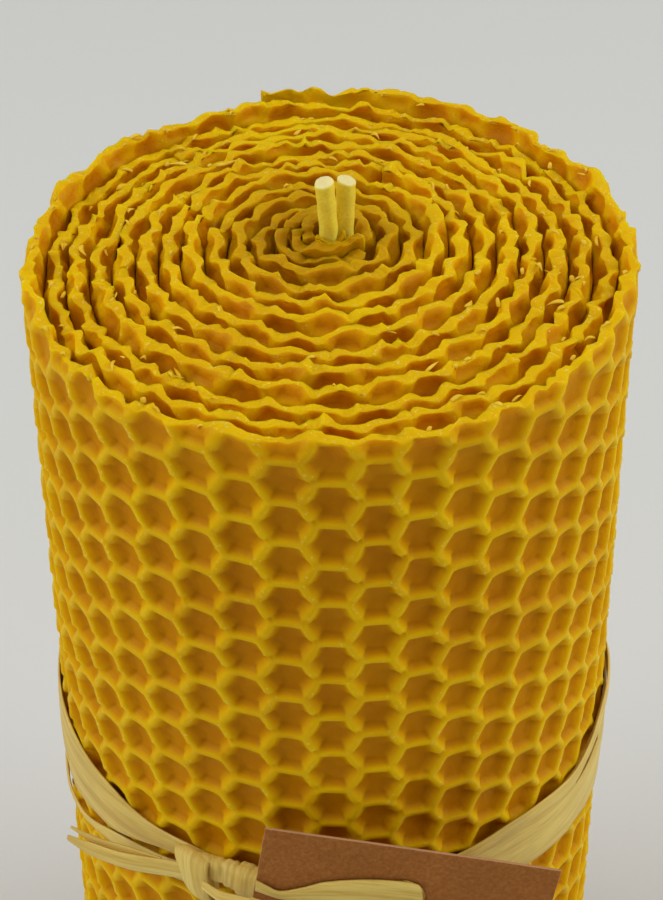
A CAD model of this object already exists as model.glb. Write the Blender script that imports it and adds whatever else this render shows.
"""Looks of the rolled beeswax candle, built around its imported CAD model.

Lengths in the making are millimetres and angles are degrees. Meshes are scaled to metres when they are made.
A bearing is 0 at the front (-Y) and grows towards the right (+X).
s is a length along the rolled sheet, from its core end.
"""

import math

import bpy
import numpy as np
from mathutils import Matrix, Vector


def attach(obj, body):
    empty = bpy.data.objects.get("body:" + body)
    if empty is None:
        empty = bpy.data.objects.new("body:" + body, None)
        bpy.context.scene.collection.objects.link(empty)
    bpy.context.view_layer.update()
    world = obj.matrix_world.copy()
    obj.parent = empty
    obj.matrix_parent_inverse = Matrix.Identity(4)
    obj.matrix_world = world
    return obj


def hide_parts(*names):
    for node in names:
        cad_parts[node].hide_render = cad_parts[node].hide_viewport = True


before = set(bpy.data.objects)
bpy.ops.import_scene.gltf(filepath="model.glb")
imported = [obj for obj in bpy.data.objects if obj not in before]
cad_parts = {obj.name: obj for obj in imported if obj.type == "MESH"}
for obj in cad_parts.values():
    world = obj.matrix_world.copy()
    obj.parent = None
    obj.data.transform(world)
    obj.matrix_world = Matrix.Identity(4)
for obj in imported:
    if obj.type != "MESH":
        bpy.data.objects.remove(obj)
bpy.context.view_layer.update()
MM = 0.001

# ==== the roll, as the CAD model winds it
CANDLE_DIAMETER = 65.6
SHEET_THICKNESS = 2.1
HALF_TURNS = 23
STRIP_LENGTH = 270.0
STRIP_COUNT = 5
FRONT_SLACK = 0.5
BUTT_GAP = 0.2
SEAM_BEARING = 193.0
CORE_OPENING = 45.0
RIM = 410.0 / 3
STRIP_LIFT = 0.225
SEAL_ANGLE = 25.0
SEAL_DROP = 1.3
CREST = SHEET_THICKNESS / 2

FRONT_MIDLINE = (CANDLE_DIAMETER - SHEET_THICKNESS) / 2
opening = math.radians(CORE_OPENING)
SEAM_PITCH = (
    math.pi * (HALF_TURNS * FRONT_MIDLINE - FRONT_SLACK / 2 * ((HALF_TURNS - 1) ** 2 // 4))
    - opening * (FRONT_MIDLINE - FRONT_SLACK / 2 * ((HALF_TURNS - 1) // 2))
    - STRIP_LENGTH * STRIP_COUNT
) / (math.pi * HALF_TURNS * (HALF_TURNS - 2) / 4 - opening * (2 * HALF_TURNS - 3) / 4)
FRONT_PITCH = SEAM_PITCH + FRONT_SLACK
SEAM_MIDLINE = FRONT_MIDLINE + SEAM_PITCH / 2


def bearing_vectors(degrees):
    """Unit vectors in plan for an array of bearings."""
    angle = np.radians(degrees)
    return np.stack([np.sin(angle), -np.cos(angle)], -1)


SEAM = bearing_vectors(SEAM_BEARING)
ROLL_CENTRE = bearing_vectors(SEAM_BEARING - 90) * -SEAM_PITCH / 4
outwards = HALF_TURNS - 1 - np.arange(HALF_TURNS)
at_seam = SEAM_MIDLINE - SEAM_PITCH * ((outwards + 1) // 2)
at_front = FRONT_MIDLINE - FRONT_PITCH * (outwards // 2)
turn_centres = ROLL_CENTRE + SEAM * ((at_seam - at_front) / 2)[:, None]
turn_radii = (at_seam + at_front) / 2
turn_starts = SEAM_BEARING - 180.0 * (outwards + 1)
turn_starts[0] += CORE_OPENING
turn_sweeps = np.full(HALF_TURNS, 180.0)
turn_sweeps[0] -= CORE_OPENING
turn_ends = np.cumsum(np.radians(turn_sweeps) * turn_radii)
turn_begins = turn_ends - np.radians(turn_sweeps) * turn_radii
SEAL_BEGINS = turn_ends[-1] - math.radians(SEAL_ANGLE) * turn_radii[-1]


def midline(s):
    """Plan positions and outward normals of the sheet's middle at lengths s along it."""
    k = np.clip(np.searchsorted(turn_ends, s), 0, HALF_TURNS - 1)
    bearing = turn_starts[k] + np.degrees((s - turn_begins[k]) / turn_radii[k])
    normal = bearing_vectors(bearing)
    return turn_centres[k] + normal * turn_radii[k][..., None], normal


def length_at(half_turn, bearing):
    """Length s at a bearing on one half turn."""
    return turn_begins[half_turn] + math.radians(bearing - turn_starts[half_turn]) * turn_radii[half_turn]


# ==== seeded noise
def hashed(ix, iz, salt):
    """A repeatable random number from 0 to 1 for each pair of whole numbers."""
    h = (ix.astype(np.int64) * 73856093) ^ (iz.astype(np.int64) * 19349663) ^ (salt * 83492791)
    h = (h & 0xFFFFFFFF).astype(np.uint64)
    h = ((h ^ (h >> np.uint64(15))) * np.uint64(2246822519)) & np.uint64(0xFFFFFFFF)
    h = ((h ^ (h >> np.uint64(13))) * np.uint64(3266489917)) & np.uint64(0xFFFFFFFF)
    return ((h ^ (h >> np.uint64(16))) & np.uint64(0xFFFFFF)).astype(float) / 0xFFFFFF


def noise(x, z, salt):
    """Value noise from -1 to 1 with features one unit across."""
    x, z = np.broadcast_arrays(np.asarray(x, float), np.asarray(z, float))
    ix, iz = np.floor(x), np.floor(z)
    fx, fz = x - ix, z - iz
    fx, fz = fx * fx * (3 - 2 * fx), fz * fz * (3 - 2 * fz)
    low = hashed(ix, iz, salt) * (1 - fx) + hashed(ix + 1, iz, salt) * fx
    high = hashed(ix, iz + 1, salt) * (1 - fx) + hashed(ix + 1, iz + 1, salt) * fx
    return (low * (1 - fz) + high * fz) * 2 - 1


def smoothstep(low, high, x):
    t = np.clip((x - low) / (high - low), 0, 1)
    return t * t * (3 - 2 * t)


# ==== mesh helpers
def add_mesh(name, vertices, faces, surface, body, nodes, values):
    """A mesh from millimetre vertices and faces, riding on body and standing for CAD nodes."""
    material, slot = SURFACES[surface]
    mesh = bpy.data.meshes.new(name)
    vertices = np.asarray(vertices, float) * MM
    if isinstance(faces, np.ndarray):
        mesh.vertices.add(len(vertices))
        mesh.vertices.foreach_set("co", vertices.ravel())
        mesh.loops.add(faces.size)
        mesh.loops.foreach_set("vertex_index", faces.ravel())
        mesh.polygons.add(len(faces))
        mesh.polygons.foreach_set("loop_start", np.arange(0, faces.size, faces.shape[1]))
        mesh.update(calc_edges=True)
    else:
        mesh.from_pydata(vertices.tolist(), [], faces)
    for key, data in values.items():
        attribute = mesh.attributes.new(key, "FLOAT", "POINT")
        attribute.data.foreach_set("value", np.asarray(data, np.float32))
    mesh.validate()
    mesh.polygons.foreach_set("use_smooth", np.full(len(mesh.polygons), True))
    mesh.materials.append(material)
    piece = bpy.data.objects.new(name, mesh)
    bpy.context.scene.collection.objects.link(piece)
    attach(piece, body)
    if nodes:
        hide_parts(*nodes)


def zipper(left, left_z, right, right_z):
    """Triangles between two rising lines of vertices."""
    i, j, triangles = 0, 0, []
    while i < len(left) - 1 or j < len(right) - 1:
        if j == len(right) - 1 or (i < len(left) - 1 and left_z[i + 1] <= right_z[j + 1]):
            triangles.append((left[i], right[j], left[i + 1]))
            i += 1
        else:
            triangles.append((left[i], right[j], right[j + 1]))
            j += 1
    return triangles


# ==== materials
WHITE = (1.0, 1.0, 1.0)


class Paint:
    """A node material in the making."""

    def __init__(self, name):
        self.material = bpy.data.materials.new(name)
        self.material.use_nodes = True
        self.nodes = self.material.node_tree.nodes
        self.links = self.material.node_tree.links
        self.shader = self.nodes["Principled BSDF"]

    def feed(self, socket, value):
        """Links a node's output to a socket, or sets a plain value on it."""
        if isinstance(value, bpy.types.NodeSocket):
            self.links.new(value, socket)
        else:
            socket.default_value = value

    def set(self, name, value):
        self.feed(self.shader.inputs[name], value)

    def finish(self, colour, roughness, specular):
        self.set("Base Color", colour)
        self.set("Roughness", roughness)
        self.set("Specular IOR Level", specular)

    def glow(self, weight, radius, scale):
        self.set("Subsurface Weight", weight)
        self.set("Subsurface Radius", radius)
        self.set("Subsurface Scale", scale)

    def place(self):
        return self.nodes.new("ShaderNodeTexCoord").outputs["Object"]

    def attribute(self, name):
        node = self.nodes.new("ShaderNodeAttribute")
        node.attribute_name = name
        return node.outputs["Fac"]

    def noise(self, scale, detail, source, roughness=0.55):
        node = self.nodes.new("ShaderNodeTexNoise")
        names = ("Scale", "Detail", "Roughness", "Vector")
        for name, value in zip(names, (scale, detail, roughness, source)):
            self.feed(node.inputs[name], value)
        return node.outputs["Fac"]

    def ramp(self, source, stops):
        node = self.nodes.new("ShaderNodeValToRGB")
        elements = node.color_ramp.elements
        while len(elements) < len(stops):
            elements.new(0.5)
        for element, (position, colour) in zip(elements, stops):
            element.position = position
            element.color = (*colour, 1.0)
        self.feed(node.inputs["Fac"], source)
        return node.outputs["Color"]

    def mix(self, factor, first, second, blend="MIX"):
        """Mixes two colours. A plain colour comes as three numbers."""
        node = self.nodes.new("ShaderNodeMix")
        node.data_type = "RGBA"
        node.blend_type = blend
        self.feed(node.inputs[0], factor)
        for colour, socket in ((first, node.inputs[6]), (second, node.inputs[7])):
            self.feed(socket, (*colour, 1.0) if isinstance(colour, tuple) else colour)
        return node.outputs[2]

    def map(self, source, from_low, from_high, to_low, to_high):
        node = self.nodes.new("ShaderNodeMapRange")
        names = ("Value", "From Min", "From Max", "To Min", "To Max")
        for name, value in zip(names, (source, from_low, from_high, to_low, to_high)):
            self.feed(node.inputs[name], value)
        return node.outputs["Result"]

    def times(self, first, second):
        node = self.nodes.new("ShaderNodeMath")
        node.operation = "MULTIPLY"
        self.feed(node.inputs[0], first)
        self.feed(node.inputs[1], second)
        return node.outputs[0]

    def bump(self, height, distance, strength=1.0):
        node = self.nodes.new("ShaderNodeBump")
        for name, value in (("Strength", strength), ("Distance", distance), ("Height", height)):
            self.feed(node.inputs[name], value)
        self.set("Normal", node.outputs["Normal"])


def beeswax():
    paint = Paint("beeswax")
    place = paint.place()
    relief = paint.attribute("relief")
    floor_to_crest = [(0.0, (0.64, 0.27, 0.0)), (0.5, (0.75, 0.405, 0.0)), (1.0, (0.76, 0.485, 0.0))]
    by_depth = paint.ramp(relief, floor_to_crest)
    clouds = paint.noise(90.0, 3.0, place)
    cloud_tint = paint.ramp(clouds, [(0.3, (0.89, 0.81, 0.6)), (0.66, WHITE)])
    base = paint.mix(1.0, by_depth, cloud_tint, "MULTIPLY")
    specks = paint.noise(2600.0, 1.0, place)
    speck_mask = paint.map(specks, 0.63, 0.72, 0.0, 0.32)
    on_crest = paint.map(relief, 0.75, 1.0, 0.0, 1.0)
    speck_mask = paint.times(speck_mask, on_crest)
    base = paint.mix(speck_mask, base, (0.95, 0.80, 0.35))
    base = paint.mix(paint.attribute("handled"), base, (0.36, 0.155, 0.0))
    paler = paint.map(paint.attribute("thin"), 0.0, 1.0, 0.0, 0.5)
    base = paint.mix(paler, base, (0.87, 0.56, 0.003))
    # light goes through the free top of the thinned end instead of glowing in it
    paint.glow(paint.map(paint.attribute("thin"), 0.0, 1.0, 0.8, 0.12), (0.8, 0.72, 0.08), 0.0022)
    grain = paint.noise(1500.0, 3.0, place)
    paint.finish(base, paint.map(grain, 0.35, 0.7, 0.42, 0.58), 0.08)
    paint.set("IOR", 1.44)
    paint.bump(grain, 0.00013, 0.8)
    return paint.material


def shaved_wax():
    """Thin curls of the same wax, paler where they were scraped."""
    paint = Paint("shaved_beeswax")
    clouds = paint.noise(900.0, 2.0, paint.place())
    base = paint.ramp(clouds, [(0.35, (0.76, 0.46, 0.005)), (0.65, (0.88, 0.61, 0.05))])
    paint.finish(base, 0.5, 0.2)
    return paint.material


def raffia():
    """Dried palm leaf: straw with fibres along it, paler and greener in long streaks."""
    paint = Paint("raffia")
    grown = paint.nodes.new("ShaderNodeCombineXYZ")
    along, across = paint.attribute("along"), paint.attribute("across")
    paint.feed(grown.inputs["X"], paint.times(along, 0.05))
    paint.feed(grown.inputs["Y"], across)
    fibres = paint.noise(2600.0, 3.0, grown.outputs["Vector"], 0.65)
    streaks = paint.noise(500.0, 2.0, grown.outputs["Vector"])
    straws = [(0.3, (0.66, 0.45, 0.085)), (0.5, (0.80, 0.58, 0.135)), (0.72, (0.87, 0.68, 0.20))]
    base = paint.ramp(streaks, straws)
    lines = paint.ramp(fibres, [(0.34, (0.76, 0.69, 0.50)), (0.56, WHITE)])
    base = paint.mix(0.8, base, lines, "MULTIPLY")
    patches = paint.noise(130.0, 2.0, paint.place())
    aged = paint.map(patches, 0.52, 0.72, 0.0, 0.6)
    base = paint.mix(aged, base, (0.60, 0.42, 0.10))
    paint.glow(0.15, (1.0, 0.7, 0.3), 0.0006)
    paint.finish(base, paint.map(fibres, 0.3, 0.7, 0.42, 0.62), 0.35)
    paint.bump(fibres, 0.00009, 0.9)
    return paint.material


def kraft_card():
    """Brown recycled card: matted fibres, a few pale ones, and a paler cut edge."""
    paint = Paint("kraft_card")
    place = paint.place()
    fibres = paint.noise(2200.0, 4.0, place, 0.7)
    browns = [(0.3, (0.29, 0.098, 0.016)), (0.5, (0.375, 0.133, 0.023)), (0.72, (0.47, 0.185, 0.042))]
    base = paint.ramp(fibres, browns)
    clouds = paint.noise(160.0, 3.0, place)
    shade = paint.ramp(clouds, [(0.3, (0.90, 0.88, 0.86)), (0.7, WHITE)])
    base = paint.mix(1.0, base, shade, "MULTIPLY")
    cut = paint.map(paint.attribute("relief"), 0.2, 1.0, 0.0, 0.45)
    base = paint.mix(cut, base, (0.58, 0.40, 0.24))
    paint.finish(base, 0.85, 0.25)
    paint.bump(fibres, 0.00008, 0.8)
    return paint.material


def waxed_cotton():
    """Primed cotton: pale yellow wax over a braid, and bare white cotton where it was cut."""
    paint = Paint("waxed_cotton")
    place = paint.place()
    threads = paint.noise(3200.0, 2.0, place)
    base = paint.ramp(threads, [(0.35, (0.92, 0.72, 0.045)), (0.65, (0.97, 0.82, 0.10))])
    bare = paint.map(paint.attribute("relief"), 0.0, 1.0, 0.0, 1.0)
    base = paint.mix(bare, base, (0.88, 0.77, 0.36))
    paint.glow(0.5, (1.0, 0.7, 0.25), 0.0012)
    paint.finish(base, 0.45, 0.3)
    paint.bump(threads, 0.00006, 0.7)
    return paint.material


# surface: its material and the library's slot for it
SURFACES = {
    "beeswax": (beeswax(), "beeswax"),
    "shavings": (shaved_wax(), "beeswax"),
    "raffia": (raffia(), "raffia"),
    "kraft_card": (kraft_card(), "kraft_card"),
    "wick": (waxed_cotton(), "wick"),
}

# ==== the embossed comb
CELL = 5.4
CELL_SIDE = CELL / math.sqrt(3)
COLUMN = 1.5 * CELL_SIDE
COLUMNS_ROUND = 44
LATTICE = 6
FIRST_COLUMN_BEARING = 9.01
FIRST_CELL_BELOW_RIM = 4.83
COLUMN_LENGTH = math.pi * (turn_radii[-1] + turn_radii[-2]) / COLUMNS_ROUND
STEP_S = COLUMN_LENGTH / (1.5 * LATTICE)
STEP_Z = CELL / (2 * LATTICE)
LATTICE_S = length_at(HALF_TURNS - 2, FIRST_COLUMN_BEARING)
LATTICE_Z = RIM - FIRST_CELL_BELOW_RIM
WEB_HALF = 0.3
WEB_TILT = 0.35
RING_FROM = [k / LATTICE for k in range(LATTICE + 1)]
RING_TO = [0.0, 0.30, 0.50, 0.66, 0.78, 0.88, 1.0]
WALL_REACH = (0.0, 0.34, 0.62, 0.97)
WALL_SHARE = (1.0, 0.96, 0.38, 0.0)
NORMALS = [(math.cos(math.radians(a)), math.sin(math.radians(a))) for a in (90, -90, 30, -150, -30, 150)]
LEVEL, BACKSLASH, SLASH = 0, 1, 2
WALL_KIND = np.array([LEVEL, LEVEL, BACKSLASH, BACKSLASH, SLASH, SLASH])
RUN = np.array([(1.0, 0.0), (0.5, -math.sqrt(3) / 2), (-0.5, -math.sqrt(3) / 2)])


def nearest_cell(x, z):
    """Centres of the cells that hold points of the flat sheet."""
    best = np.full(x.shape, 1e9)
    cx, cz = np.zeros(x.shape), np.zeros(x.shape)
    left = np.floor(x / COLUMN)
    for column in (left, left + 1):
        shift = np.where(column % 2 == 0, 0.0, CELL / 2)
        row_z = shift + CELL * np.round((z - shift) / CELL)
        distance = (x - column * COLUMN) ** 2 + (z - row_z) ** 2
        closer = distance < best - 1e-9
        best = np.where(closer, distance, best)
        cx, cz = np.where(closer, column * COLUMN, cx), np.where(closer, row_z, cz)
    return cx, cz


def towards_walls(x, z):
    """Moves the points between a cell's middle and its walls nearer to the walls, where the shape is."""
    cx, cz = nearest_cell(x, z)
    px, pz = x - cx, z - cz
    u = np.max([px * nx + pz * nz for nx, nz in NORMALS], axis=0) / (CELL / 2)
    scale = np.interp(u, RING_FROM, RING_TO) / np.maximum(u, 1e-6)
    scale = np.where(u < 1e-6, 1.0, scale)
    return cx + px * scale, cz + pz * scale


def bell(t, centre, width):
    return np.exp(-(((t - centre) / width) ** 2))


def wall_crest(x, z, kind, t, luck, salt, left_share):
    """Crest of the wall whose middle is at x, z, for points t along it, and its blob and where that is."""
    ends = []
    for sign in (-0.5, 0.5):
        ex = x + RUN[kind][..., 0] * sign * CELL_SIDE
        ez = z + RUN[kind][..., 1] * sign * CELL_SIDE
        jx, jz = np.round(ex / (CELL_SIDE / 2)), np.round(ez / (CELL / 2))
        is_blunt = (kind == BACKSLASH) if sign > 0 else (kind != BACKSLASH)
        ends.append(np.where(is_blunt, 0.88, 0.98) + 0.07 * (hashed(jx, jz, salt + 9) - 0.5))
    crest = ends[0] * (1 - t) + ends[1] * t
    drop_back = 0.08 + 0.34 * luck[0]
    drop_slash = (0.02 + 0.30 * luck[0] ** 2) * (1 - left_share) + (0.06 + 0.30 * luck[0]) * left_share
    dip = np.select([kind == BACKSLASH, kind == SLASH], [drop_back, drop_slash], 0.0) * bell(t, 0.84, 0.10)
    blob_at = 0.60 + 0.08 * (luck[1] - 0.5)
    blob = np.select([kind == BACKSLASH, kind == SLASH], [0.07 + 0.08 * luck[2], 0.05 * luck[2]], 0.0)
    sag = np.select([kind == LEVEL, kind == SLASH], [0.06 + 0.14 * luck[3], 0.03], 0.0) * np.sin(np.pi * t)
    crest = crest - dip - sag + blob * bell(t, blob_at, 0.13)
    crest = np.where((luck[4] < 0.03) & (t > 0.2) & (t < 0.9), crest * 0.72, crest)
    return crest, blob, bell(t, blob_at, 0.14)


def comb_height(x, z, face, left_share, deeper):
    """Height of one face above the sheet's middle, how far up a wall it is (0 to 1), and the floor."""
    cx, cz = nearest_cell(x, z)
    px, pz = x - cx, z - cz
    dots = np.array([px * nx + pz * nz for nx, nz in NORMALS])
    wall = np.argmax(dots, axis=0)
    distance = CELL / 2 - np.max(dots, axis=0)
    kind = WALL_KIND[wall]
    run = RUN[kind]
    t = np.clip((px * run[..., 0] + pz * run[..., 1]) / CELL_SIDE + 0.5, 0, 1)
    middle = np.array(NORMALS)[wall] * CELL / 2
    wall_x, wall_z = cx + middle[..., 0], cz + middle[..., 1]
    ix, iz = np.round(wall_x / (CELL_SIDE * 0.75)), np.round(wall_z / (CELL / 4))
    salt = 11 if face > 0 else 29
    luck = [hashed(ix, iz, salt + k) for k in range(6)]
    crest, blob, at_blob = wall_crest(wall_x, wall_z, kind, t, luck, salt, left_share)
    width = np.select([kind == LEVEL, kind == SLASH], [0.96, 1.25], 1.07)
    width = width * (0.93 + 0.14 * luck[5]) + 0.30 * blob / 0.1 * at_blob * 0.5
    up_wall = np.interp(distance / width, WALL_REACH, WALL_SHARE)
    # the web between the two faces is folded so that each cell has a floor of three rhombs
    near_blunt = np.cos(np.radians(3 * np.degrees(np.arctan2(pz, px))))
    u = 1 - distance / (CELL / 2)
    floor = WEB_HALF - WEB_TILT + WEB_TILT * u * (1.5 - 0.5 * near_blunt) - deeper
    height = floor + (CREST - floor) * up_wall * crest
    return height, np.clip(up_wall * crest, 0, 1), floor


def cut_line(s, bearing):
    """Height of the sheet's cut upper edge over the rim's level."""
    turns_in = (turn_ends[-1] - s) / (turn_ends[-1] - turn_ends[-3])
    sunk = smoothstep(0.85, 1.25, turns_in) * np.interp(turns_in, (1.0, 3.0, 9.0), (2.1, 1.5, 0.5))
    from_back_left = np.abs((bearing + 340) % 360 - 180)
    sunk = sunk * (0.2 + 0.8 * smoothstep(110, 55, from_back_left))
    wander = 0.35 * noise(s / 9.0, 0.0, 41) + 0.30 * noise(s / 2.6, 0.0, 43)
    nick = 0.32 * noise(s / 1.1, 0.0, 47) + 0.16 * noise(s / 0.55, 0.0, 49)
    torn = smoothstep(0.0, 0.5, noise(s / 7.0, 0.0, 59))
    burr = 1.5 * np.maximum(noise(s / 0.75, 0.0, 57) - 0.45, 0.0) * torn
    return wander + nick + burr + 0.25 * noise(s / 23.0, 0.0, 53) - sunk


# Rows of the grid. Between the two bands the faces are hidden, and long triangles join them.
ROWS = np.arange(math.ceil(-LATTICE_Z / STEP_Z + 0.3), math.floor((RIM - LATTICE_Z) / STEP_Z + 0.6) + 1)
ROW_Z = LATTICE_Z + ROWS * STEP_Z
LOW_BAND, HIGH_BAND = 2.2, 6.5
LOW_TOP = int(np.searchsorted(ROW_Z, LOW_BAND))
HIGH_BOTTOM = int(np.searchsorted(ROW_Z, RIM - HIGH_BAND))
HIGH_BOTTOM += 1 - (HIGH_BOTTOM - LOW_TOP) % 2
SHOWN_FROM = length_at(HALF_TURNS - 2, SEAM_BEARING - 360 - 8)
LIP_ROWS = ((0.14, 0.03), (0.5, 0.08), (0.86, 0.03))


class Strip:
    """One strip of comb foundation in its place in the roll, and the grid of points it is made on."""

    def __init__(self, number):
        self.number = number
        self.is_outer = number == STRIP_COUNT - 1
        self.lift = STRIP_LIFT * (STRIP_COUNT - 1 - number)
        self.first = number * STRIP_LENGTH + (BUTT_GAP / 2 if number else 0.0)
        self.last = (number + 1) * STRIP_LENGTH - (0.0 if self.is_outer else BUTT_GAP / 2)
        first_column = math.ceil((self.first - LATTICE_S) / STEP_S + 0.3)
        self.columns = np.arange(first_column, math.floor((self.last - LATTICE_S) / STEP_S - 0.8) + 1)
        self.index = np.arange(len(ROWS) * len(self.columns)).reshape(len(ROWS), -1)

    def face_points(self, face):
        """The outer (1) or inner (-1) face: its points, how far up a wall each is, and their lengths s."""
        outside = self.is_outer and face > 0
        s = LATTICE_S + (self.columns[None, :] + 0.5 * (ROWS[:, None] % 2)) * STEP_S
        z = np.repeat(ROW_Z[:, None], len(self.columns), 1)
        shift = 0.0 if face > 0 else CELL_SIDE
        flat_x, flat_z = towards_walls((s - LATTICE_S) * COLUMN / COLUMN_LENGTH + shift, z - LATTICE_Z)
        s = (flat_x - shift) * COLUMN_LENGTH / COLUMN + LATTICE_S
        z = flat_z + LATTICE_Z
        s[:, 0], s[:, -1] = self.first, self.last
        normal = midline(s)[1]
        bearing = np.degrees(np.arctan2(normal[..., 0], -normal[..., 1]))
        cut = RIM + cut_line(s, bearing)
        z = np.minimum(z, cut - 0.07 * (len(ROWS) - 1 - np.arange(len(ROWS)))[:, None])
        z[-1] = cut[-1]
        z[0] = 0.0
        z = np.maximum(z, 0.05 * np.arange(len(ROWS))[:, None])
        flat_x = (s - LATTICE_S) * COLUMN / COLUMN_LENGTH
        left_share = smoothstep(-10, -35, bearing) * smoothstep(-170, -120, bearing)
        below = cut - z
        deeper = 0.42 * smoothstep(3.5, 8.0, below) * smoothstep(0.8, 2.5, z) if outside else 0.0
        height, relief, web = comb_height(flat_x + shift, z - LATTICE_Z, face, left_share, deeper)
        height = height + 0.05 * noise(s / 1.7, z / 1.7, 61 + face)
        if face < 0:
            worn = smoothstep(100, 140, np.abs(bearing)) * smoothstep(7, 4, below)
            height = height - (height - web) * 0.75 * worn
        # deep in the roll the faces are pressed together and nothing of them is seen
        at_side = np.sin(np.radians(bearing)) ** 2
        unseen = smoothstep(1.2 - 0.5 * at_side, 3.3 - 1.0 * at_side, below) * smoothstep(0.6, 1.8, z)
        if outside:
            unseen = unseen * smoothstep(SHOWN_FROM + 2.0, SHOWN_FROM - 4.0, s)
        from_seam = np.radians(bearing - SEAM_BEARING)
        gap = SEAM_PITCH - SHEET_THICKNESS + FRONT_SLACK / 2 * (1 - np.cos(from_seam))
        height = height + (CREST + gap / 2 - 0.03 - height) * unseen
        # the knife pressed the cut edge flatter
        press = smoothstep(1.3, 0.2, below) * (0.34 + 0.22 * noise(s / 3.1, 0.0, 71 + face))
        lip = 0.25 + web + 0.18 * noise(s / 1.6, z / 1.2, 73 + face)
        height = height + (lip - height) * press
        relief = relief + (0.9 - relief) * press
        if outside:
            seal = np.clip((s - SEAL_BEGINS) / (self.last - SEAL_BEGINS), 0, 1)
            height = np.maximum(height - SEAL_DROP * seal, -CREST + 0.7)
        # no hand-rolled sheet lies quite true
        s_place = s + 0.16 * noise(s / 4.3, z / 4.3, 81)
        s_place[:, 0], s_place[:, -1] = self.first, self.last
        z_place = z + 0.16 * noise(s / 4.1, z / 4.1, 83) * smoothstep(0, 3, z)
        position, normal = midline(s_place)
        flare = 1 + 0.004 * smoothstep(RIM - 12, RIM, z)
        bend = 0.26 * noise(s / 4.6, 0.0, 101) + 0.24 * noise(s / 1.3, z / 1.2, 103)
        offset = height * face + bend * smoothstep(3.0, 0.0, below)
        plan = position * flare[..., None] + normal * offset[..., None]
        return np.concatenate([plan, (z_place + self.lift)[..., None]], -1), relief, s

    def block(self, row, above, first, last, face):
        """Triangles between two rows, from one column to another."""
        index = self.index if face > 0 else self.index + self.index.size
        a, b = index[row, first:last], index[row, first + 1:last + 1]
        c, d = index[above, first:last], index[above, first + 1:last + 1]
        halves = ((a, b, c), (b, d, c)) if ROWS[row] % 2 == 0 else ((a, b, d), (a, d, c))
        return np.concatenate([np.stack(half if face > 0 else half[::-1], 1) for half in halves])

    def face_triangles(self, face):
        """Small triangles wherever the face shows, long ones between the bands where it doesn't."""
        last = dense_from = len(self.columns) - 1
        if self.is_outer and face > 0:
            dense_from = int(np.searchsorted(LATTICE_S + self.columns * STEP_S, SHOWN_FROM))
        parts = []
        for row in range(len(ROWS) - 1):
            first = 0 if row < LOW_TOP or row >= HIGH_BOTTOM else dense_from
            if first < last:
                parts.append(self.block(row, row + 1, first, last, face))
        if dense_from == last:
            parts.append(self.block(LOW_TOP, HIGH_BOTTOM, 0, last, face))
        else:
            parts.append(self.block(LOW_TOP, HIGH_BOTTOM, 0, dense_from - 1, face))
            corner = self.index[LOW_TOP, dense_from - 1]
            edge = [*self.index[LOW_TOP:HIGH_BOTTOM + 1, dense_from], self.index[HIGH_BOTTOM, dense_from - 1]]
            parts.append(np.array([(corner, near, far) for near, far in zip(edge, edge[1:])]))
        return parts

    def edge_triangles(self, outer, inner, lips):
        """The cut edges: a rough flat lip on top, plain below and at both ends."""
        outside, inside = self.index, self.index + self.index.size
        chain = [outside[-1], *lips, inside[-1]]
        parts = []
        for near, far in zip(chain[:-1], chain[1:]):
            parts.append(np.stack([near[:-1], near[1:], far[1:]], 1))
            parts.append(np.stack([near[:-1], far[1:], far[:-1]], 1))
        near, far = outside[0], inside[0]
        parts.append(np.stack([near[:-1], far[1:], near[1:]], 1))
        parts.append(np.stack([near[:-1], far[:-1], far[1:]], 1))
        kept = [*range(LOW_TOP + 1), *range(HIGH_BOTTOM, len(ROWS))]
        for column, at_end in ((0, False), (len(self.columns) - 1, True)):
            outer_rows = list(range(len(ROWS))) if self.is_outer and at_end else kept
            sides = [
                (list(outside[outer_rows, column]), list(outer[outer_rows, column, 2])),
                (list(inside[kept, column]), list(inner[kept, column, 2])),
            ]
            (first, first_z), (second, second_z) = sides if at_end else sides[::-1]
            ends = zipper(first, first_z, second, second_z)
            fan = [sides[0][0][-1], sides[1][0][-1], *lips[::-1, column]]
            corners = [(fan[0], fan[k], fan[k + 1]) for k in range(1, 4)]
            ends += corners if at_end else [face[::-1] for face in corners]
            parts.append(np.array(ends))
        return parts

    def build(self):
        across = len(self.columns)
        outer, outer_relief, s = self.face_points(1)
        inner, inner_relief, s = self.face_points(-1)
        lip_rows = []
        for place, (part, rise) in enumerate(LIP_ROWS):
            row = outer[-1] * (1 - part) + inner[-1] * part
            row[:, 2] += rise + rise * noise(np.arange(across) / 1.3, place, 91 + self.number)
            lip_rows.append(row)
        lips = 2 * self.index.size + np.arange(3 * across).reshape(3, across)
        triangles = self.face_triangles(1) + self.face_triangles(-1) + self.edge_triangles(outer, inner, lips)
        vertices = np.concatenate([outer.reshape(-1, 3), inner.reshape(-1, 3), *lip_rows])
        relief = np.concatenate([outer_relief.ravel(), inner_relief.ravel(), np.full(3 * across, 0.95)])
        thin = smoothstep(SEAL_BEGINS - 8.0, SEAL_BEGINS + 2.0, np.tile(s.ravel(), 2))
        thin = np.concatenate([thin, np.tile(thin[self.index[-1]], 3)])
        thin = thin * smoothstep(RIM - 6.0, RIM - 2.0, vertices[:, 2])
        used, triangles = np.unique(np.concatenate(triangles), return_inverse=True)
        vertices = vertices[used]
        handled = 0.6 * smoothstep(15.0, 5.0, np.hypot(vertices[:, 0] + 1.0, vertices[:, 1] - 2.5))
        add_mesh(
            f"comb_strip_{self.number + 1}", vertices, triangles.reshape(-1, 3).astype(np.int32),
            "beeswax", "candle", (f"wax_strip_{self.number + 1}",),
            {"relief": relief[used], "handled": handled, "thin": thin[used]},
        )


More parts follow.
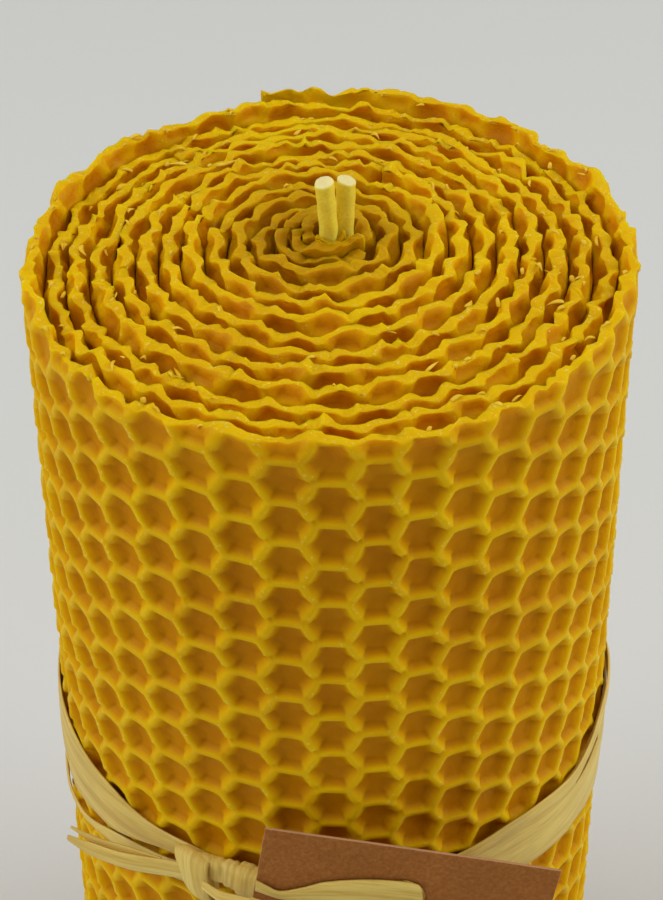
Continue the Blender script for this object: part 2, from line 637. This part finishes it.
# ==== thin sheets and tubes
def sheet_quads(rows, columns, closed=False, holes=()):
    """Quads of a thin sheet: its two faces, and the walls round its edges and its holes."""
    last = rows if closed else rows - 1
    count = rows * columns
    quads = []

    def kept(i, j):
        return 0 <= j < columns - 1 and (closed or 0 <= i < last) and (i % rows, j) not in holes

    def at(i, j):
        return (i % rows) * columns + j

    for i in range(last):
        for j in range(columns - 1):
            if not kept(i, j):
                continue
            a, b, c, d = at(i, j), at(i + 1, j), at(i + 1, j + 1), at(i, j + 1)
            quads += [(a, b, c, d), (d + count, c + count, b + count, a + count)]
            sides = (((a, b), (i, j - 1)), ((b, c), (i + 1, j)), ((c, d), (i, j + 1)), ((d, a), (i - 1, j)))
            quads += [(q, p, p + count, q + count) for (p, q), beside in sides if not kept(*beside)]
    return quads


def thin_sheet(name, outer, inner, surface, body, nodes, closed=False, holes=(), relief=None, handled=None):
    """A sheet between two grids of points, with how far along and across it each point is."""
    rows, columns = outer.shape[:2]
    middle = (outer + inner) / 2
    steps = np.linalg.norm(np.diff(middle, axis=0), axis=-1).mean(1)
    along = np.repeat(np.concatenate([[0.0], np.cumsum(steps)])[:, None], columns, 1) * MM
    widths = np.linalg.norm(np.diff(middle, axis=1), axis=-1)
    across = np.concatenate([np.zeros((rows, 1)), np.cumsum(widths, 1)], 1)
    across = (across - across[:, -1:] / 2) * MM
    values = {"along": np.tile(along.ravel(), 2), "across": np.tile(across.ravel(), 2)}
    for key, data in (("relief", relief), ("handled", handled)):
        if data is not None:
            values[key] = np.tile(data.ravel(), 2)
    vertices = np.concatenate([outer.reshape(-1, 3), inner.reshape(-1, 3)])
    quads = sheet_quads(rows, columns, closed, holes)
    used, quads = np.unique(np.array(quads), return_inverse=True)
    values = {key: data[used] for key, data in values.items()}
    quads = quads.reshape(-1, 4).astype(np.int32)
    add_mesh(name, vertices[used], quads, surface, body, nodes, values)


def flowing(rows, count):
    """Rows of numbers followed smoothly through a table of them (a Catmull-Rom spline)."""
    table = np.asarray(rows, float)
    table = np.concatenate([2 * table[:1] - table[1:2], table, 2 * table[-1:] - table[-2:-1]])
    t = np.linspace(0, len(rows) - 1, count)
    k = np.clip(t.astype(int), 0, len(rows) - 2)
    f = (t - k)[:, None]
    a, b, c, d = table[k], table[k + 1], table[k + 2], table[k + 3]
    return 0.5 * (2 * b + (c - a) * f + (2 * a - 5 * b + 4 * c - d) * f**2 + (3 * b - a - 3 * c + d) * f**3)


def unit(vectors):
    return vectors / np.linalg.norm(vectors, axis=-1, keepdims=True)


# ==== the raffia
TIE_ENDS_AT = -24.0
RIBBON_COLUMNS = 15


def taut_radius(bearings):
    """How far from the axis the outermost turn's hull is, at some bearings."""
    angles = np.arange(0.0, 360.0)
    s = np.linspace(turn_begins[-2], turn_ends[-1], 721)
    crest = CREST - SEAL_DROP * np.clip((s - SEAL_BEGINS) / (turn_ends[-1] - SEAL_BEGINS), 0, 1)
    support = (midline(s)[0] @ bearing_vectors(angles).T + crest[:, None]).max(0)
    cosines = np.cos(np.radians(bearings[:, None] - angles[None, :]))
    return np.where(cosines > 0.3, support / np.maximum(cosines, 0.3), 1e9).min(1)


def raffia_ring(name, node, edges, lay, thickness, slits, salt):
    """A ribbon once round the candle. edges and lay are tables over bearings that run left from the knot."""
    rows = 640
    turned = np.linspace(TIE_ENDS_AT - 360, TIE_ENDS_AT, rows)
    table = np.array(edges)[::-1]
    upper = np.interp(turned, table[:, 0], table[:, 1])
    lower = np.interp(turned, table[:, 0], table[:, 2])
    weights = np.hanning(19) / np.hanning(19).sum()
    upper, lower = (np.convolve(np.pad(edge, 9, "edge"), weights, "valid") for edge in (upper, lower))
    arc = np.radians(turned) * 33.0
    upper = upper + 0.10 * noise(arc / 6.0, 0.0, salt)
    lower = lower + 0.14 * noise(arc / 4.0, 0.0, salt + 1)
    lay_table = np.array(lay)[::-1]
    stand = np.interp(turned, lay_table[:, 0], lay_table[:, 1])
    share = np.linspace(0, 1, RIBBON_COLUMNS)[None, :] * np.ones((rows, 1))
    width = (upper - lower)[:, None]
    holes = set()
    for first, last, column, opening_width in slits:
        t = np.clip((turned - first) / (last - first), 0, 1)
        gap = opening_width * np.sin(np.pi * t) ** 0.7 / width[:, 0]
        side = np.where(np.arange(RIBBON_COLUMNS) <= column, -1.0, 1.0)[None, :]
        reach = np.abs(np.arange(RIBBON_COLUMNS) - column - 0.5)[None, :] - 0.5
        share = share + side * gap[:, None] / 2 * np.exp(-reach / 1.5)
        inside = np.nonzero((turned > first) & (turned < last))[0]
        holes |= {(int(i), column) for i in inside[:-1]}
    share = np.clip(share, 0, 1)
    z = RIM + lower[:, None] + share * width
    crown = 0.22 * (1 - (2 * share - 1) ** 2)
    ridges = 0.05 * noise(share * 4 + salt, arc[:, None] / 22.0, salt + 2)
    ridges += 0.02 * noise(share * 11 + salt, arc[:, None] / 9.0, salt + 3)
    wave = 0.08 * noise(arc[:, None] / 5.0, share * 1.5, salt + 4)
    inner_radius = taut_radius(turned)[:, None] + stand[:, None] + np.maximum(crown + ridges + wave, 0.0)
    direction = bearing_vectors(turned)[:, None, :]
    grids = []
    for radius in (inner_radius + thickness, inner_radius):
        grids.append(np.concatenate([direction * radius[..., None], z[..., None]], -1))
    thin_sheet(name, *grids, "raffia", "tie", (node,), holes=holes)


def free_ribbon(name, table, body, nodes, salt, curl):
    """A ribbon through rows of x, y, z, the direction across it (three numbers) and its width."""
    rows = flowing(table, 60)
    spine, across, width = rows[:, :3], unit(rows[:, 3:6]), rows[:, 6]
    tangent = unit(np.gradient(spine, axis=0))
    facing = unit(np.cross(tangent, across))
    share = np.linspace(-0.5, 0.5, 9)
    length = np.concatenate([[0.0], np.cumsum(np.linalg.norm(np.diff(spine, axis=0), axis=1))])
    height = curl * (1 - (2 * share[None, :]) ** 2) * np.minimum(width, 3.0)[:, None]
    height = height + 0.06 * noise(share[None, :] * 8, length[:, None] / 12.0, salt)
    height = height + 0.05 * noise(length[:, None] / 2.2, share[None, :] * 2, salt + 1)
    width = width * (1 + 0.04 * noise(length / 2.5, 0.0, salt + 2))
    middle = spine[:, None] + across[:, None] * (share[None, :] * width[:, None])[..., None]
    grids = [middle + facing[:, None] * (height + side)[..., None] for side in (0.08, -0.08)]
    thin_sheet(name, *grids, "raffia", body, nodes)


def raffia_wrap(name, bearing, reach, drop, half_size, widths, shift, tilt, nodes, salt, creases=()):
    """One turn of ribbon round the other ribbons in the knot, wider at its top than at its bottom."""
    out = np.append(bearing_vectors(bearing), 0.0)
    right = np.array([-out[1], out[0], 0.0])
    up = np.array([0.0, 0.0, 1.0])
    lean = math.radians(tilt)
    axis, up = right * math.cos(lean) - up * math.sin(lean), up * math.cos(lean) + right * math.sin(lean)
    phi = np.radians(np.arange(0.0, 360.0, 3.0))
    share = np.linspace(-0.5, 0.5, 41 if creases else 17)
    low = (1 - np.cos(phi)) / 2
    width = widths[0] + (widths[1] - widths[0]) * low
    crown = 0.20 * (1 - (2 * share[None, :]) ** 4)
    crown = crown + 0.07 * noise(share[None, :] * 9, phi[:, None] / 1.5, salt)
    crown = crown + 0.05 * noise(share[None, :] * 17, phi[:, None] / 0.7, salt + 1)
    for place, depth in creases:
        wandering = place + 0.03 * noise(phi[:, None], 0.0, salt + 2)
        crown = crown - depth * np.exp(-np.abs(share[None, :] - wandering) / 0.035)
        crown = crown + 0.16 * smoothstep(wandering - 0.02, wandering + 0.05, share[None, :])
    centre = out * reach + np.array([0.0, 0.0, RIM + drop])
    turn_out = np.sign(np.sin(phi)) * np.abs(np.sin(phi)) ** 0.8
    turn_up = np.sign(np.cos(phi)) * np.abs(np.cos(phi)) ** 0.8
    along_axis = shift * low[:, None] + share[None, :] * width[:, None]
    grids = []
    for extra in (0.0, -0.35):
        high = (half_size[0] + crown + extra - 0.3) * turn_up[:, None]
        deep = (half_size[1] + crown + extra - 0.3) * turn_out[:, None]
        grids.append(centre + axis * along_axis[..., None] + up * high[..., None] + out * deep[..., None])
    thin_sheet(name, *grids, "raffia", "tie", nodes, closed=True)


# ==== the tag, in the frame of its hole
TAG_HOLE = np.array([7.5, -36.67, RIM - 60.6])
TAG_YAW, TAG_LEAN = -4.0, -2.0
CARD_TILT, LOOP_TILT = 8.3, 4.2


def tag_frame(tilt):
    """The directions right, away from the viewer and up of things that lie on the tag."""
    turn = Matrix.Rotation(math.radians(TAG_YAW), 3, "Z") @ Matrix.Rotation(math.radians(TAG_LEAN), 3, "X")
    return np.array(turn @ Matrix.Rotation(math.radians(tilt), 3, "Y"))


def on_tag(points, tilt):
    """Points of the tag's own frame, brought to their place."""
    return TAG_HOLE + np.asarray(points) @ tag_frame(tilt).T


def tag_card():
    """The card with its punched hole, drawn as rings from the hole out to the cut edges."""
    half, top, bottom, hole = 16.25, 7.4, -44.6, 2.5
    per_side = 60
    corners = [(half, bottom), (half, top), (-half, top), (-half, bottom), (half, bottom)]
    edge = np.concatenate([
        np.linspace(corners[k], corners[k + 1], per_side, endpoint=False) for k in range(4)
    ])
    angle = np.arctan2(edge[:, 1], edge[:, 0])
    rim_of_hole = np.stack([np.cos(angle), np.sin(angle)], -1) * hole
    rings = np.concatenate([[0.0, 0.012], np.linspace(0.05, 0.97, 22), [0.992, 1.0]])
    t = rings[None, :, None]
    flat = rim_of_hole[:, None] * (1 - t) + edge[:, None] * t
    at_edge = np.isclose(rings, 1.0)[None, :]
    fray = 0.05 * noise(np.arange(len(edge)) * 1.7, 0.0, 211)[:, None] - 0.05
    flat = flat * (1 + at_edge * fray / 20.0)[..., None]
    warp = 0.14 * np.sin(flat[..., 0] / 9.0 + 0.6) * np.cos(flat[..., 1] / 17.0)
    warp = warp * smoothstep(3.0, 12.0, np.linalg.norm(flat, axis=-1))
    thick = np.where(at_edge | np.isclose(rings, 0.0)[None, :], 0.13, 0.17)
    grids = []
    for side in (1.0, -1.0):
        local = np.stack([flat[..., 0], warp + side * thick, flat[..., 1]], -1)
        grids.append(on_tag(local, CARD_TILT))
    relief = np.where(at_edge, 1.0, 0.0) * np.ones(flat.shape[:2])
    thin_sheet("kraft_tag", *grids, "kraft_card", "tag", ("tag",), closed=True, relief=relief)


def tag_loop():
    """The ribbon that lies over the card, turns through its hole and comes back behind it."""
    # across the page, the upper edge and the lower edge, then how far it stands in front of the card
    front = [
        (-16.2, 0.9, -0.7, -0.95), (-14.8, 0.0, -1.3, -0.9), (-13.4, -0.62, -1.75, -0.85),
        (-11.0, 0.25, -1.9, -0.8), (-8.6, 1.35, -2.0, -0.75), (-4.5, 2.3, -2.1, -0.75),
        (-1.2, 2.6, -2.3, -0.72),
        (0.9, 2.55, -2.2, -0.78), (1.9, 2.1, -2.0, -0.72), (1.9, 1.7, -1.7, -0.35), (1.3, 1.5, -1.5, 0.0),
        (0.8, 1.6, -1.6, 0.6), (-1.0, 2.0, -2.0, 0.8), (-5.0, 1.9, -1.9, 0.8), (-10.0, 1.2, -1.4, 0.8),
        (-16.0, 0.7, -0.8, 0.75),
    ]
    rows = flowing(front, 180)
    share = np.linspace(0, 1, 13)
    x, upper, lower, y = (rows[:, k][:, None] for k in range(4))
    x, y = x + 0 * share[None, :], y + 0 * share[None, :]
    z = lower + (upper - lower) * share[None, :]
    tangent = unit(np.stack([np.gradient(rows[:, 0]), np.gradient(rows[:, 3])], -1))
    outward = np.stack([tangent[:, 1], -tangent[:, 0]], -1)
    crown = 0.34 * (1 - (2 * share[None, :] - 1) ** 2) * np.minimum((upper - lower) / 4.0, 1.0)
    crown = crown - 0.22 + 0.05 * noise(share[None, :] * 9, np.arange(180)[:, None] / 18.0, 231)
    crown = crown * np.where(np.abs(y) < 0.6, 0.3, 1.0)
    grids = []
    for side in (0.12, -0.12):
        shift = crown + side
        local = np.stack([x + outward[:, None, 0] * shift, y + outward[:, None, 1] * shift, z], -1)
        grids.append(on_tag(local, LOOP_TILT))
    thin_sheet("raffia_loop", *grids, "raffia", "tag_loop", ("raffia_tag_loop",))


# ==== the wicks
def braided_wick(name, foot, top, lean, salt):
    """A braided cotton wick: straight through the roll, leaning above it, and cut across at the top."""
    radius, bend = 1.07, RIM + 1.4
    low = np.arange(0.4, bend - 1.2, 0.55)
    high = np.linspace(bend - 1.2, top, 38)
    heights = np.concatenate([low, high])
    slope = math.tan(math.radians(lean))
    away = np.where(heights > bend, (heights - bend) * slope, 0.0)
    away = np.convolve(np.pad(away, 3, "edge"), np.ones(7) / 7, "valid")
    phi = np.radians(np.arange(0.0, 360.0, 12.0))
    lobes = 0.05 * np.cos(3 * phi[None, :] + heights[:, None] * 1.35)
    lobes = lobes * np.cos(2 * phi[None, :] - heights[:, None])
    lobes = lobes + 0.04 * noise(phi[None, :] * 2.5, heights[:, None] / 2.0, salt)
    size = np.minimum(radius * 0.94 + lobes, radius)
    x = foot[0] + away[:, None] + size * np.cos(phi)[None, :]
    y = foot[1] + size * np.sin(phi)[None, :] * np.ones((len(heights), 1))
    z = heights[:, None] + 0 * x
    cut = smoothstep(top - 2.0, top, z)
    z = z - cut * (0.22 * np.cos(phi + salt)[None, :] + 0.4)
    # the cut end: rings drawn in to a frayed middle
    rings = []
    for scale, rise in ((0.86, 0.10), (0.55, 0.02), (0.22, 0.12)):
        ring_x = x[-1].mean() + (x[-1] - x[-1].mean()) * scale
        ring_y = y[-1].mean() + (y[-1] - y[-1].mean()) * scale
        ring_z = z[-1] + rise + 0.06 * noise(phi * 3, scale * 9, salt + 2)
        rings.append(np.stack([ring_x, ring_y, ring_z], -1))
    grid = np.concatenate([np.stack([x, y, z], -1), np.array(rings)])
    rows, columns = grid.shape[:2]
    index = np.arange(rows * columns).reshape(rows, columns)
    beside = np.roll(index, -1, axis=1)
    quads = np.stack([index[:-1], beside[:-1], beside[1:], index[1:]], -1).reshape(-1, 4).tolist()
    faces = quads + [tuple(index[0][::-1]), tuple(index[-1])]
    bare = np.zeros((rows, columns))
    bare[-4], bare[-3:] = 0.5, 1.0
    faces, values = [tuple(face) for face in faces], {"relief": bare.ravel()}
    add_mesh(f"braided_{name}", grid.reshape(-1, 3), faces, "wick", "candle", (name,), values)


# ==== the crumpled start of the sheet, round the wicks
def core_fold(number, path, top, thickness):
    """A torn, crumpled fold of the sheet's first edge, pressed in between the wicks and the first turn."""
    rows = flowing(path, 20 * len(path))
    step = np.concatenate([[0.0], np.cumsum(np.linalg.norm(np.diff(rows, axis=0), axis=1))])
    tangent = unit(np.gradient(rows, axis=0))
    normal = np.stack([tangent[:, 1], -tangent[:, 0]], -1)
    salt = 500 + 10 * number
    edge = RIM + top + 0.5 * noise(step / 2.1, 0.0, salt) + 0.25 * noise(step / 0.7, 0.0, salt + 1)
    share = 1 - np.linspace(1, 0, 26) ** 1.6
    z = RIM - 11.0 + (edge[:, None] - RIM + 11.0) * share[None, :]
    bend = 0.45 * noise(step[:, None] / 2.0, z / 3.0, salt + 2)
    bend = bend + 0.10 * noise(step[:, None] / 0.9, z / 1.1, salt + 3)
    swell = 1 + 0.55 * noise(step[:, None] / 1.3, z / 1.9, salt + 4)
    grids = []
    for side in (0.5, -0.5):
        plan = rows[:, None] + normal[:, None] * (bend + side * thickness * swell)[..., None]
        grids.append(np.concatenate([plan, z[..., None]], -1))
    relief = 0.25 + 0.6 * smoothstep(2.5, 0.0, edge[:, None] - z)
    handled = np.full(z.shape, 0.65)
    thin_sheet(f"core_fold_{number}", *grids, "beeswax", "candle", (), relief=relief, handled=handled)


def wax_shavings(count):
    """Thin curls and crumbs of wax that the knife left on the cut edges."""
    random = np.random.default_rng(77)
    vertices, quads = [], []
    phi = np.radians(np.arange(0.0, 360.0, 60.0))
    for _ in range(count):
        s = turn_ends[-1] * math.sqrt(random.uniform(0.004, 0.985))
        position, normal = (row[0] for row in midline(np.array([s])))
        bearing = np.degrees(np.arctan2(normal[:1], -normal[1:]))
        level = RIM + float(cut_line(np.array([s]), bearing)[0])
        if abs(bearing[0]) < 30 and random.uniform() < 0.6:
            continue
        strip_number = min(int(s / STRIP_LENGTH), STRIP_COUNT - 1)
        level += STRIP_LIFT * (STRIP_COUNT - 1 - strip_number)
        across, sideways = random.uniform(-0.7, 0.7), random.uniform(-0.7, 0.7)
        if s > turn_begins[-2]:
            across, sideways = min(across, 0.2), -abs(sideways)
        foot = np.array([*(position + normal * across), level - 0.15])
        along = np.array([-normal[1], normal[0], 0.0]) * random.choice([-1.0, 1.0])
        length = random.uniform(0.5, 1.8) if random.uniform() < 0.88 else random.uniform(1.8, 3.0)
        rise = random.uniform(0.0, 0.45)
        heading = along * random.uniform(0.5, 1.0) + np.array([*normal, 0.0]) * sideways
        bow = random.uniform(-0.5, 0.5)
        t = np.linspace(0, 1, 7)[:, None]
        path = foot + heading * length * t + np.array([0, 0, 1.0]) * rise * np.sin(np.pi * t)
        path = path + np.array([*normal, 0.0]) * bow * t * (1 - t) * length
        belly = 0.55 + 0.45 * np.sin(np.pi * (t[:, 0] * 0.8 + 0.2))
        size = random.uniform(0.10, 0.26) * (1 - 0.75 * t[:, 0] ** 2) * belly
        side = np.cross(unit(heading), [0, 0, 1.0])
        ring = np.cos(phi)[None, :, None] * side * 1.5 + np.sin(phi)[None, :, None] * np.array([0, 0, 0.8])
        tube = (path[:, None] + ring * size[:, None, None]).reshape(-1, 3)
        first = sum(len(part) for part in vertices)
        vertices.append(tube)
        index = first + np.arange(len(tube)).reshape(7, 6)
        beside = np.roll(index, -1, axis=1)
        quads += np.stack([index[:-1], beside[:-1], beside[1:], index[1:]], -1).reshape(-1, 4).tolist()
        quads += [tuple(index[0][::-1]), tuple(index[-1])]
    vertices = np.concatenate(vertices)
    faces, values = [tuple(face) for face in quads], {"relief": np.full(len(vertices), 1.0)}
    add_mesh("wax_shavings", vertices, faces, "shavings", "candle", (), values)


# ==== camera, light and floor
LENS_MM, SENSOR_MM = 100.5, 36.0
CAMERA_PITCH, CAMERA_ROLL = math.radians(39.467), math.radians(-0.394)
CAMERA_PLACE = Vector((0, -218.79, RIM + 152.80)) * MM
LIT_SPOT = Vector((0, 0, 0.11))
WARM_WHITE, SOFT_WHITE = (1.0, 0.98, 0.95), (1.0, 0.99, 0.97)
# name, place, size in metres, power, colour
SOFTBOXES = [
    ("left_softbox", (-0.75, -0.15, 0.62), 0.7, 4.1, WARM_WHITE),
    ("right_softbox", (0.75, -0.05, 0.60), 0.7, 4.15, WARM_WHITE),
    ("top_softbox", (0.0, 0.25, 0.95), 0.8, 1.75, SOFT_WHITE),
    ("front_fill", (0.0, -0.95, 0.75), 0.8, 0.15, SOFT_WHITE),
]


def add_camera():
    data = bpy.data.cameras.new("camera")
    data.sensor_width = SENSOR_MM
    data.sensor_fit = "AUTO"
    data.lens = LENS_MM
    data.clip_start = 0.01
    data.clip_end = 20.0
    right = Vector((1, 0, 0))
    upward = Vector((0, math.sin(CAMERA_PITCH), math.cos(CAMERA_PITCH)))
    ahead = Vector((0, math.cos(CAMERA_PITCH), -math.sin(CAMERA_PITCH)))
    cosine, sine = math.cos(CAMERA_ROLL), math.sin(CAMERA_ROLL)
    right, upward = right * cosine + upward * sine, upward * cosine - right * sine
    camera = bpy.data.objects.new("camera", data)
    turn = Matrix((right, upward, -ahead)).transposed().to_4x4()
    camera.matrix_world = Matrix.Translation(CAMERA_PLACE) @ turn
    bpy.context.scene.collection.objects.link(camera)
    bpy.context.scene.camera = camera


def add_lights():
    for name, place, size, power, colour in SOFTBOXES:
        light = bpy.data.lights.new(name, "AREA")
        light.shape = "SQUARE"
        light.size = size
        light.energy = power
        light.color = colour
        lamp = bpy.data.objects.new(name, light)
        lamp.location = place
        lamp.rotation_euler = (LIT_SPOT - Vector(place)).to_track_quat("-Z", "Y").to_euler()
        bpy.context.scene.collection.objects.link(lamp)
    world = bpy.data.worlds.new("studio")
    world.use_nodes = True
    background = world.node_tree.nodes["Background"]
    background.inputs["Color"].default_value = (0.60, 0.60, 0.595, 1.0)
    background.inputs["Strength"].default_value = 0.48
    bpy.context.scene.world = world
    bpy.context.scene.view_settings.view_transform = "Standard"
    bpy.context.scene.view_settings.look = "None"


def studio_floor():
    paint = Paint("studio_paper")
    paint.set("Base Color", (0.705, 0.716, 0.702, 1.0))
    paint.set("Roughness", 0.9)
    fibre = paint.noise(900.0, 2.0, paint.place())
    paint.bump(fibre, 0.00002)
    mesh = bpy.data.meshes.new("studio_floor")
    half, level = 3.0, -0.0002
    corners = [(-half, -half, level), (half, -half, level), (half, half, level), (-half, half, level)]
    mesh.from_pydata(corners, [], [(0, 1, 2, 3)])
    mesh.materials.append(paint.material)
    floor = bpy.data.objects.new("studio_floor", mesh)
    bpy.context.scene.collection.objects.link(floor)


add_camera()
add_lights()
studio_floor()
for number in range(STRIP_COUNT):
    Strip(number).build()

CORE_FOLDS = [
    ([(-5.3, 2.4), (-4.9, -0.2), (-3.2, -2.0), (-0.6, -2.7), (1.8, -2.1), (3.4, -0.5)], 0.8, 1.2),
    ([(-3.6, 2.0), (-3.1, 0.1), (-1.7, -1.0), (0.3, -1.1), (2.0, -0.3), (3.2, 1.0)], 1.3, 1.1),
    ([(-1.9, 0.7), (-2.4, 2.3), (-1.9, 3.8), (-0.3, 4.4), (1.3, 4.8)], 1.1, 1.1),
    ([(-4.1, 2.9), (-3.6, 4.6), (-2.3, 5.7), (-0.4, 6.0)], 0.8, 1.0),
    ([(-1.5, 0.1), (-0.6, -0.2), (0.8, 0.2), (1.6, 1.0)], 1.5, 0.5),
]
for number, (path, top, thickness) in enumerate(CORE_FOLDS, 1):
    core_fold(number, path, top, thickness)

wax_shavings(170)

# bearing, upper edge and lower edge below the rim, from the knot leftwards round the candle
WIDE_RIBBON = [
    (-24, -61.2, -63.3), (-30, -60.8, -63.2), (-37, -60.7, -63.7), (-43.5, -60.2, -65.0),
    (-51, -59.3, -66.8), (-59, -59.1, -67.7), (-68, -58.7, -69.2), (-85, -57.6, -69.4),
    (-110, -58.0, -68.6), (-150, -60.3, -68.4), (-190, -61.2, -69.2), (-230, -61.4, -70.2),
    (-265, -60.2, -71.6), (-285, -59.4, -72.8), (-293, -60.6, -72.2), (-302, -62.0, -71.2),
    (-316, -61.3, -70.2), (-335, -62.0, -68.6), (-360, -62.3, -65.8), (-384, -61.4, -63.8),
]
NARROW_RIBBON = [
    (-24, -63.9, -66.9), (-32, -64.7, -67.6), (-42, -65.6, -68.3), (-50, -67.1, -69.3),
    (-57.6, -69.2, -70.7), (-65.6, -71.3, -72.2), (-74, -72.9, -74.0), (-95, -72.6, -75.2),
    (-130, -71.0, -74.2), (-170, -70.3, -73.4), (-198, -69.8, -72.9), (-222, -66.4, -69.4),
    (-244, -62.4, -65.3), (-264, -59.4, -62.0), (-285, -57.6, -60.2), (-293, -59.9, -62.0),
    (-302, -61.5, -63.4), (-313, -60.5, -62.3), (-324, -60.3, -62.0), (-335, -61.4, -63.1),
    (-360, -61.9, -64.0), (-384, -61.0, -63.4),
]
raffia_ring(
    "raffia_ribbon_wide", "raffia_wide_band", WIDE_RIBBON, [(-24, 0.05), (-384, 0.05)], 0.22,
    [(-86, -70, 4, 0.55), (-301, -288, 10, 0.35)], 301,
)
raffia_ring(
    "raffia_ribbon_narrow", "raffia_narrow_band", NARROW_RIBBON,
    [(-24, 0.1), (-194, 0.1), (-208, 0.65), (-242, 0.65), (-258, 0.4), (-384, 0.4)], 0.18, [], 321,
)
raffia_wrap("knot_wrap_large", -27.6, 34.6, -63.3, (3.4, 1.6), (4.4, 2.2), 2.2, 6.0, ("raffia_knot",), 341)
raffia_wrap(
    "knot_wrap_small", -19.6, 34.1, -62.2, (1.75, 1.15), (7.6, 7.0), 0.5, 9.0, (), 351,
    [(-0.16, 0.22), (-0.03, 0.18), (0.06, 0.22)],
)
free_ribbon(
    "knot_end_right",
    [
        (-14.6, -33.9, RIM - 62.0, 0, 0.3, 1, 1.2), (-12.6, -35.4, RIM - 62.2, 0, 0.3, 1, 1.6),
        (-10.8, -36.2, RIM - 62.0, 0, 0.3, 1, 1.6), (-9.2, -36.8, RIM - 61.5, 0, 0.3, 1, 1.1),
    ],
    "tie", (), 361, 0.2,
)
free_ribbon(
    "raffia_tail_upper",
    [
        (-15.8, -31.6, RIM - 62.5, 0.1, 0, 1, 2.4), (-19.0, -30.4, RIM - 63.0, 0.1, 0, 1, 2.6),
        (-23.5, -28.6, RIM - 63.9, 0.1, 0, 1, 2.5), (-27.5, -26.3, RIM - 64.6, 0.1, 0, 1, 2.2),
        (-30.6, -23.9, RIM - 65.1, 0.1, 0, 1, 0.9),
    ],
    "tie", ("raffia_tail_left",), 381, -0.12,
)
free_ribbon(
    "raffia_tail_under",
    [
        (-19.5, -29.7, RIM - 62.7, 0.1, 0, 1, 1.0), (-23.0, -28.0, RIM - 63.1, 0.1, 0.1, 1, 1.4),
        (-27.0, -25.8, RIM - 63.7, 0.1, 0.1, 1, 1.2), (-30.2, -23.3, RIM - 64.0, 0.1, 0.1, 1, 0.4),
    ],
    "tie", (), 391, -0.12,
)
tag_loop()
low_end = [
    (-16.6, -1.5, -1.5), (-14.5, -1.75, -2.0), (-11.0, -1.8, -2.8), (-7.0, -1.75, -3.4), (-3.8, -1.7, -3.9),
]
low_widths = (0.8, 1.1, 1.2, 1.1, 0.4)
low_rows = [(*on_tag(point, LOOP_TILT), 0.05, 0.2, 1.0, width) for point, width in zip(low_end, low_widths)]
free_ribbon("raffia_end_low", low_rows, "tag_loop", ("raffia_tail_low",), 401, 0.1)
tag_card()
braided_wick("wick_left", (-0.1, 1.2), RIM + 8.2, -4.4, 411)
braided_wick("wick_right", (1.55, 2.65), RIM + 7.5, 2.0, 421)
